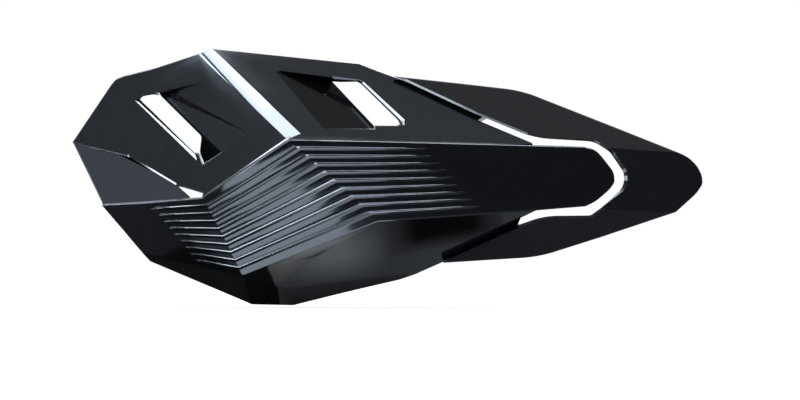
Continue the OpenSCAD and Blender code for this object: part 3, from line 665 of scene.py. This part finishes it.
def vent_rim(edge):
    """Whether an edge is the outer line of a vent's rim or of the notch."""
    wide, narrow = sorted(edge.link_faces, key=lambda face: -face.calc_area())
    angle, middle, wall = edge.calc_face_angle(0), middle_of(edge), narrow.normal
    if not (edge.is_convex and math.radians(20) < angle < math.radians(140)):
        return False
    sloping = angle < math.radians(70)
    if wide.normal.dot(LEFT_FACE) > 0.999:
        if wall.z < -0.8:
            return within(middle, NOTCH)
        return (sloping and wall.x > 0.1 and within(middle, LEFT_VENT)
                and narrow.calc_area() < VENT_WALL_AREA)
    if wide.normal.dot(RIGHT_FACE) > 0.999:
        if wall.z < -0.6:
            return within(middle, RIGHT_VENT_FOOT)
        return sloping and wall.x < -0.3 and within(middle, RIGHT_VENT)
    return False


def inner_rim(edge):
    """Whether an edge is the outer line of the wall round the nose cover's opening."""
    front, wall = sorted(edge.link_faces, key=lambda face: face.normal.y)
    if not (edge.is_convex and front.normal.y < -0.4 and abs(wall.normal.y) < 0.3):
        return False
    middle = middle_of(edge)
    inward = OPENING - middle
    return (wall.normal.x * inward.x + wall.normal.z * inward.z > 0
            and middle.x < OPENING_END)


class HANDGUARD_OT_shield(bpy.types.Operator):
    """Make the faceted vented shield"""
    bl_idname = "hand_guard.shield"
    bl_label = "Shield"

    def execute(self, context):
        sizes, finish = context.scene.hand_guard_sizes, context.scene.hand_guard_colours
        mesh = round_corners(merged_copy("shield"), lambda co: (
            sizes.tongue_corner if co.x > TONGUE else sizes.outline_corner))
        break_edges(mesh, vent_rim, sizes.vent_rim)
        shield = piece("shield_moulding", "shield", finish)
        settle(soften(shield, mesh, sizes.shield_edge, 2, SHIELD_BEND), "shield")
        polished_pieces().objects.link(shield)
        return {"FINISHED"}


class HANDGUARD_OT_nose_cover(bpy.types.Operator):
    """Make the grained nose cover"""
    bl_idname = "hand_guard.nose_cover"
    bl_label = "Nose Cover"

    def execute(self, context):
        sizes, finish = context.scene.hand_guard_sizes, context.scene.hand_guard_colours
        mesh = merged_copy("nose_cover")
        # The lower corner is drawn onto the plane of its neighbours, so the side is one plane.
        side = max((face for face in mesh.faces if face.normal.dot(NOSE_SIDE) > 0.995),
                   key=lambda face: face.calc_area())
        for vert in mesh.verts:
            offset = vert.co - NOSE_CORNER
            if max(abs(offset.x), abs(offset.z)) < NOSE_CORNER_REACH and vert.co.y < NOSE_FRONT:
                gap = (vert.co - side.calc_center_median()).dot(side.normal)
                vert.co.y -= gap / side.normal.y
        mesh = round_corners(mesh, lambda co: sizes.tongue_corner)
        break_edges(mesh, inner_rim, sizes.nose_rim)
        nose = piece("nose_moulding", "nose_cover", finish)
        # The grain stops short of the opening, where the rim has the shield's polish.
        nose.data.materials.append(finish_for("gloss_black", finish))
        settle(soften(nose, mesh, sizes.nose_edge, 3, NOSE_BEND), "nose_cover")
        return {"FINISHED"}


class HANDGUARD_OT_arm_and_clamp(bpy.types.Operator):
    """Make the arm and the two halves of the clamp"""
    bl_idname = "hand_guard.arm_and_clamp"
    bl_label = "Arm and Clamp"

    def execute(self, context):
        sizes, finish = context.scene.hand_guard_sizes, context.scene.hand_guard_colours
        for node in ("arm", "clamp_body", "clamp_cap"):
            moulding = piece(node + "_moulding", node, finish)
            settle(soften(moulding, merged_copy(node), sizes.clamp_edge, 2, ARM_BEND), node)
        return {"FINISHED"}


# Turns that lay a piece made along Z along each axis.
ALONG = {"y": (-math.pi / 2, 0.0, 0.0), "z": (0.0, 0.0, 0.0)}

# Washers: their axis and their bore in millimetres, which clears M5 or M6.
WASHERS = (("shield_washers", "y", 5.3), ("clamp_washers", "y", 5.3), ("pivot_washers", "z", 6.4))
# Screws: their head's height, its top as a share of its width, and the key's size across flats.
SCREWS = (("shield_screws", 2.75, 0.68, 3.5), ("clamp_bolts", 5.0, 0.94, 4.0))
SCREW_DIAMETER = 5 * MM
SCREW_PITCH = 0.8 * MM
NUT_BORE = 6 * MM


class HANDGUARD_OT_washers(bpy.types.Operator):
    """Make the washers of the shield, the clamp and the pivot"""
    bl_idname = "hand_guard.washers"
    bl_label = "Washers"

    def execute(self, context):
        sizes, finish = context.scene.hand_guard_sizes, context.scene.hand_guard_colours
        tree = washer_tree()
        for node, axis, bore in WASHERS:
            solids = solids_of(node)
            low, high = solids[0]
            grow(node + "_turned", node, finish, tree,
                 [(low + high) / 2 for low, high in solids], ALONG[axis],
                 {"Outer Radius": (high.x - low.x) / 2, "Inner Radius": bore / 2 * MM,
                  "Thickness": getattr(high - low, axis), "Rim": sizes.washer_rim})
        return {"FINISHED"}


class HANDGUARD_OT_nuts(bpy.types.Operator):
    """Make the pivot's nut"""
    bl_idname = "hand_guard.nuts"
    bl_label = "Nuts"

    def execute(self, context):
        solids = solids_of("pivot_nut")
        low, high = solids[0]
        grow("pivot_nut_forged", "pivot_nut", context.scene.hand_guard_colours, nut_tree(),
             [(low + high) / 2 for low, high in solids], ALONG["z"],
             {"Across Flats": min(high.x - low.x, high.y - low.y), "Height": high.z - low.z,
              "Bore Radius": NUT_BORE / 2})
        return {"FINISHED"}


class HANDGUARD_OT_screws(bpy.types.Operator):
    """Make the socket screws of the shield and the clamp"""
    bl_idname = "hand_guard.screws"
    bl_label = "Screws"

    def execute(self, context):
        tree = socket_screw_tree()
        for node, head, top, key in SCREWS:
            solids = solids_of(node)
            low, high = solids[0]
            radius = (high.x - low.x) / 2
            seats = [Vector(((low.x + high.x) / 2, high.y - head * MM, (low.z + high.z) / 2))
                     for low, high in solids]
            grow(node + "_turned", node, context.scene.hand_guard_colours, tree, seats,
                 ALONG["y"],
                 {"Head Radius": radius, "Head Top Radius": radius * top,
                  "Head Height": head * MM, "Socket": key * MM,
                  "Shank Radius": SCREW_DIAMETER / 2,
                  "Shank Length": high.y - low.y - head * MM, "Pitch": SCREW_PITCH})
        return {"FINISHED"}


class HANDGUARD_OT_fasteners(bpy.types.Operator):
    """Finish the fasteners, bushes and grommets that keep their CAD shape"""
    bl_idname = "hand_guard.fasteners"
    bl_label = "Fasteners"

    def execute(self, context):
        finish = context.scene.hand_guard_colours
        # Every CAD node gets its finish, also one that a finer piece then replaces.
        for node, slot in SLOTS.items():
            for material_slot in frame["nodes"][node].material_slots:
                material_slot.material = finish_for(slot, finish)
        return {"FINISHED"}


# Stage

# What the lamps face.
AIM = Vector((-0.03, -0.07, 0.0))
# Height of the floor, just under the shield's lowest edge, and half its width.
FLOOR = -0.0549
FLOOR_REACH = 40
# How far the cards lie above the floor.
CARD_LIFT = 0.4 * MM
# Strength of the white surround as a light, and of the floor's own white to the camera.
WORLD_LIGHT = 0.45
FLOOR_SHINE = 0.62

# The photograph is 340 mm wide where the shield stands, in front of the handlebar.
VIEW_WIDTH = 0.34
VIEW_DEPTH = 0.075
VIEW_CENTRE = (-0.0255, -0.00935)
LENS = 600
SENSOR = 36

# Lamps: the direction that each is seen in, its distance, width, height and radiance.
COLOUR_LAMPS = (
    ("front_left_box", (-0.6, -0.78, 0.2), 1.8, 0.9, 0.7, 1.3),
    ("back_box", (0.1, 0.72, 0.68), 1.5, 1.2, 0.5, 4),
)
SHINE_LAMPS = (
    # The crest, the ribs' crests and the outer edges.
    ("crest_box", (-0.32, -0.35, 0.88), 1.2, 0.5, 0.5, 45),
    ("rib_strip", (0.22, -0.51, 0.83), 1.2, 0.9, 0.34, 60),
    ("left_strip", (-0.65, 0.0, 0.76), 1.2, 0.45, 0.45, 50),
    ("edge_strip", (-0.9, -0.3, -0.01), 1.2, 0.2, 0.12, 40),
    ("step_strip", (0.05, 0.78, 0.62), 1.2, 0.5, 0.2, 18),
    # The side scoop.
    ("scoop_box", (-0.72, -0.66, 0.25), 1.6, 0.3, 0.34, 0.5),
    # The vents' rims and the tongue's front.
    ("first_vent_line", (-0.07, -0.19, 0.98), 1.2, 0.32, 0.32, 60),
    ("second_vent_line", (-0.66, -0.46, 0.59), 1.2, 0.22, 0.22, 60),
    ("vent_corner_line", (-0.36, 0.01, 0.93), 1.2, 0.16, 0.16, 50),
    ("front_line", (0.12, -0.99, 0.04), 1.2, 0.1, 0.1, 40),
)
# Lamps that the nose cover's polished rim mirrors.
RIM_LAMPS = (
    ("rim_line", (-0.955, -0.186, 0.15), 1.2, 0.2, 0.2, 25),
    ("lap_line", (-0.62, -0.58, 0.5), 1.2, 0.2, 0.2, 50),
)
# Cards in the air, given as the lamps are.
AIR_CARDS = (
    ("vent_card", (-0.99, -0.03, 0.0), 1.3, 0.7, 0.12, 0.25),
    ("back_card", (0.36, 0.42, 0.83), 1.3, 0.5, 0.5, 0.3),
)


def rectangle(x0, y0, x1, y1):
    """The outline of a rectangle."""
    return [(x0, y0), (x1, y0), (x1, y1), (x0, y1)]


# Cards on the floor, which the facets that lean down mirror: their outline and radiance, and
# for a soft card the width of its border as a share of its width, and the border's radiance.
FLOOR_CARDS = (
    ("front_card", rectangle(-0.12, -1.1, 0.6, -0.285), 0.22),
    ("left_card", rectangle(-0.5, -0.4, -0.23, 0.3), 0.25),
    ("left_band_card", rectangle(-0.23, -0.16, -0.165, -0.055), 0.35),
    ("notch_card", rectangle(-0.23, -0.055, -0.185, 0.01), 30),
    ("diagonal_card", [(-0.02, -0.092), (-0.02, -0.27), (-0.22, -0.27), (-0.22, -0.17),
                       (-0.14, -0.135), (-0.12, -0.092)], 10),
    ("lap_card", rectangle(-0.29, -0.32, -0.19, -0.235), 35),
    ("keel_card", rectangle(-0.165, -0.088, -0.0765, 0.06), 0.04),
    ("keel_strip_card", rectangle(-0.0765, -0.0615, -0.02, 0.06), 0.04, 0.1, 0.5),
    ("flank_card", rectangle(-0.0765, -0.088, -0.026, -0.0615), 3.0, 0.4, 0.8),
    ("flank_blob", rectangle(-0.026, -0.088, 0.026, -0.069), 0.02, 0.25, 0.7),
)


def seen_white(tree, strength):
    """A strength where a camera, mirror or glass looks, and nothing as light on the guard."""
    path = add(tree, "ShaderNodeLightPath").outputs
    looks = add(tree, "ShaderNodeMath", {0: path["Is Camera Ray"], 1: path["Is Glossy Ray"]},
                operation="ADD")
    looks = add(tree, "ShaderNodeMath", {0: looks, 1: path["Is Transmission Ray"]},
                operation="ADD", use_clamp=True)
    return add(tree, "ShaderNodeMath", {0: looks, 1: strength}, operation="MULTIPLY")


def polished_pieces():
    """The collection of the pieces that show the lamps made for the gloss."""
    return (bpy.data.collections.get("polished_pieces")
            or bpy.data.collections.new("polished_pieces"))


def lamp(name, towards, distance, width, height, radiance):
    """A soft rectangular lamp that faces the guard and that the camera doesn't see."""
    data = bpy.data.lights.new(name, "AREA")
    data.shape = "RECTANGLE"
    data.size, data.size_y = width, height
    data.energy = radiance * math.pi * width * height
    obj = bpy.data.objects.new(name, data)
    bpy.context.scene.collection.objects.link(obj)
    direction = Vector(towards).normalized()
    obj.location = AIM + direction * distance
    obj.rotation_euler = direction.to_track_quat("Z", "Y").to_euler()
    obj.visible_camera = False
    return obj


def card(name, corners, radiance, soft=0.0, rest=1.0):
    """A flat card that shows in the gloss and nowhere else. Its soft border fades to rest."""
    data = bpy.data.meshes.new(name)
    data.from_pydata([tuple(corner) for corner in corners], [], [tuple(range(len(corners)))])
    obj = bpy.data.objects.new(name, data)
    bpy.context.scene.collection.objects.link(obj)
    material, tree, out = new_material(name)
    light = radiance
    if soft:
        # Each way, 0 at the card's sides and 1 where the soft border ends.
        place = add(tree, "ShaderNodeTexCoord").outputs["Generated"]
        sides = add(tree, "ShaderNodeSeparateXYZ", {"Vector": place}).outputs
        inward = []
        for axis in ("X", "Y"):
            offset = add(tree, "ShaderNodeMath", {0: sides[axis], 1: 0.5}, operation="SUBTRACT")
            centred = add(tree, "ShaderNodeMath", {0: offset}, operation="ABSOLUTE")
            depth = add(tree, "ShaderNodeMath", {0: 0.5, 1: centred}, operation="SUBTRACT")
            inward.append(add(tree, "ShaderNodeMath", {0: depth, 1: soft},
                              operation="DIVIDE", use_clamp=True))
        whole = add(tree, "ShaderNodeMath", {0: inward[0], 1: inward[1]}, operation="MULTIPLY")
        light = add(tree, "ShaderNodeMapRange", {
            "Value": whole, "To Min": rest, "To Max": radiance})
    paper = add(tree, "ShaderNodeEmission", {"Color": (1, 1, 1, 1), "Strength": light})
    tree.links.new(paper.outputs["Emission"], out.inputs["Surface"])
    data.materials.append(material)
    obj.visible_camera = obj.visible_diffuse = obj.visible_shadow = False
    return obj


def air_card(name, towards, distance, width, height, radiance):
    """A card in the air that faces the guard."""
    direction = Vector(towards).normalized()
    turn = direction.to_track_quat("Z", "Y").to_matrix()
    corners = [AIM + direction * distance + turn @ Vector((x * width / 2, y * height / 2, 0))
               for x, y in rectangle(-1, -1, 1, 1)]
    return card(name, corners, radiance)


def floor_card(name, outline, *light):
    """A card that lies on the floor."""
    return card(name, [(x, y, FLOOR + CARD_LIFT) for x, y in outline], *light)


class HANDGUARD_OT_stage(bpy.types.Operator):
    """Make the floor, the white surround, the lamps, the cards and the camera"""
    bl_idname = "hand_guard.stage"
    bl_label = "Stage"

    def execute(self, context):
        scene = context.scene
        scene.view_settings.view_transform = "Standard"

        world = bpy.data.worlds.new("studio")
        world.use_nodes = True
        scene.world = world
        tree = world.node_tree
        tree.nodes.clear()
        strength = add(tree, "ShaderNodeMath", {
            0: seen_white(tree, 1 - WORLD_LIGHT), 1: WORLD_LIGHT}, operation="ADD")
        sky = add(tree, "ShaderNodeBackground", {"Color": (1, 1, 1, 1), "Strength": strength})
        add(tree, "ShaderNodeOutputWorld", {"Surface": sky})

        corners = [(x, y, FLOOR) for x, y in rectangle(
            -FLOOR_REACH, -FLOOR_REACH, FLOOR_REACH, FLOOR_REACH)]
        data = bpy.data.meshes.new("floor")
        data.from_pydata(corners, [], [(0, 1, 2, 3)])
        floor = bpy.data.objects.new("floor", data)
        scene.collection.objects.link(floor)
        material, tree, out = new_material("white_paper_sweep")
        paint = add(tree, "ShaderNodeBsdfDiffuse", {"Color": (*linear("#f2f2f2"), 1)})
        shine = add(tree, "ShaderNodeEmission", {
            "Color": (1, 1, 1, 1), "Strength": seen_white(tree, FLOOR_SHINE)})
        both = add(tree, "ShaderNodeAddShader", {0: paint, 1: shine})
        tree.links.new(both.outputs["Shader"], out.inputs["Surface"])
        data.materials.append(material)

        for values in COLOUR_LAMPS:
            lamp(*values)
        # These show in the gloss alone, and don't light its colour.
        for values in SHINE_LAMPS:
            shine_lamp = lamp(*values)
            shine_lamp.visible_diffuse = False
            shine_lamp.light_linking.receiver_collection = polished_pieces()
        for values in RIM_LAMPS:
            lamp(*values).visible_diffuse = False
        for values in AIR_CARDS:
            air_card(*values)
        for values in FLOOR_CARDS:
            floor_card(*values)

        camera = bpy.data.cameras.new("camera")
        camera.lens = LENS
        camera.sensor_width = SENSOR
        camera.clip_end = 200
        eye = bpy.data.objects.new("camera", camera)
        scene.collection.objects.link(eye)
        x, z = VIEW_CENTRE
        eye.location = (x, -VIEW_DEPTH - VIEW_WIDTH * LENS / SENSOR, z)
        eye.rotation_euler = (math.pi / 2, 0, 0)
        scene.camera = eye
        return {"FINISHED"}


class HANDGUARD_PT_panel(bpy.types.Panel):
    """Lists the pieces and their settings"""
    bl_label = "Hand Guard"
    bl_idname = "HANDGUARD_PT_panel"
    bl_space_type = "VIEW_3D"
    bl_region_type = "UI"
    bl_category = "Hand Guard"

    def draw(self, context):
        for group in (context.scene.hand_guard_sizes, context.scene.hand_guard_colours):
            for name in type(group).__annotations__:
                self.layout.prop(group, name)
        for operator in OPERATORS:
            self.layout.operator(operator.bl_idname)


OPERATORS = (
    HANDGUARD_OT_stage,
    HANDGUARD_OT_fasteners,
    HANDGUARD_OT_washers,
    HANDGUARD_OT_nuts,
    HANDGUARD_OT_screws,
    HANDGUARD_OT_shield,
    HANDGUARD_OT_nose_cover,
    HANDGUARD_OT_arm_and_clamp,
)
CLASSES = (HandGuardSizes, HandGuardColours, *OPERATORS, HANDGUARD_PT_panel)


def register():
    for cls in CLASSES:
        bpy.utils.register_class(cls)
    bpy.types.Scene.hand_guard_sizes = PointerProperty(type=HandGuardSizes)
    bpy.types.Scene.hand_guard_colours = PointerProperty(type=HandGuardColours)


def unregister():
    del bpy.types.Scene.hand_guard_colours
    del bpy.types.Scene.hand_guard_sizes
    for cls in reversed(CLASSES):
        bpy.utils.unregister_class(cls)


def main():
    """Makes every piece in order."""
    register()
    for operator in OPERATORS:
        group, name = operator.bl_idname.split(".")
        getattr(getattr(bpy.ops, group), name)()


if __name__ == "__main__":
    main()
